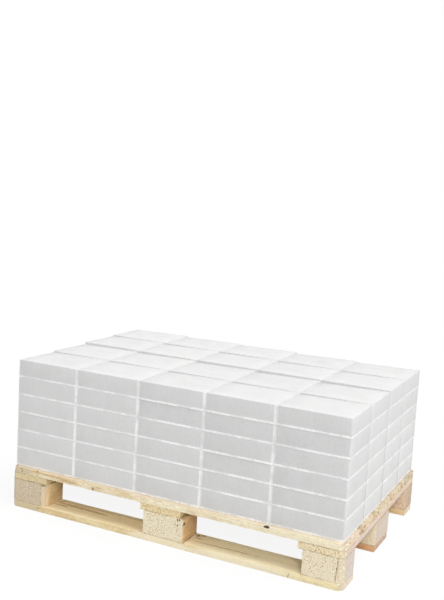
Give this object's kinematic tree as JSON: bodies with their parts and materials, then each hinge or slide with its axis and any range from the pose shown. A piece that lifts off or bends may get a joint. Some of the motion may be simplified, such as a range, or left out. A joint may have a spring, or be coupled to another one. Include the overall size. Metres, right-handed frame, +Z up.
{
  "type": "pallet of aerated concrete panels",
  "caption": "Loaded flat wooden pallet: small bevelled aerated concrete panels lie in level, closely set layers on its boarded deck.",
  "frame": {"origin": "on the floor, under the middle of the pallet's plan", "axes": "+X along the pallet's length, to the right seen from the front; +Y to its back; +Z up"},
  "size_m": [1.2, 0.8, 0.516],
  "materials": {
    "aerated_concrete": "matt, finely porous",
    "board_wood": "rough sawn, unplaned softwood",
    "block_wood": "rough sawn softwood with open end grain"
  },
  "bodies": {
    "root": {"bottom_board_front": "board_wood", "bottom_board_middle": "board_wood", "bottom_board_back": "board_wood", "block_front_left": "block_wood", "block_front_middle": "block_wood", "block_front_right": "block_wood", "block_middle_left": "block_wood", "block_middle_middle": "block_wood", "block_middle_right": "block_wood", "block_back_left": "block_wood", "block_back_middle": "block_wood", "block_back_right": "block_wood", "cross_board_left": "board_wood", "cross_board_middle": "board_wood", "cross_board_right": "board_wood", "deck_board_front": "board_wood", "deck_board_front_inner": "board_wood", "deck_board_middle": "board_wood", "deck_board_back_inner": "board_wood", "deck_board_back": "board_wood", "panel_layer_1": "aerated_concrete", "panel_layer_2": "aerated_concrete", "panel_layer_3": "aerated_concrete", "panel_layer_4": "aerated_concrete", "panel_layer_5": "aerated_concrete", "panel_layer_6": "aerated_concrete"}
  },
  "joints": []
}
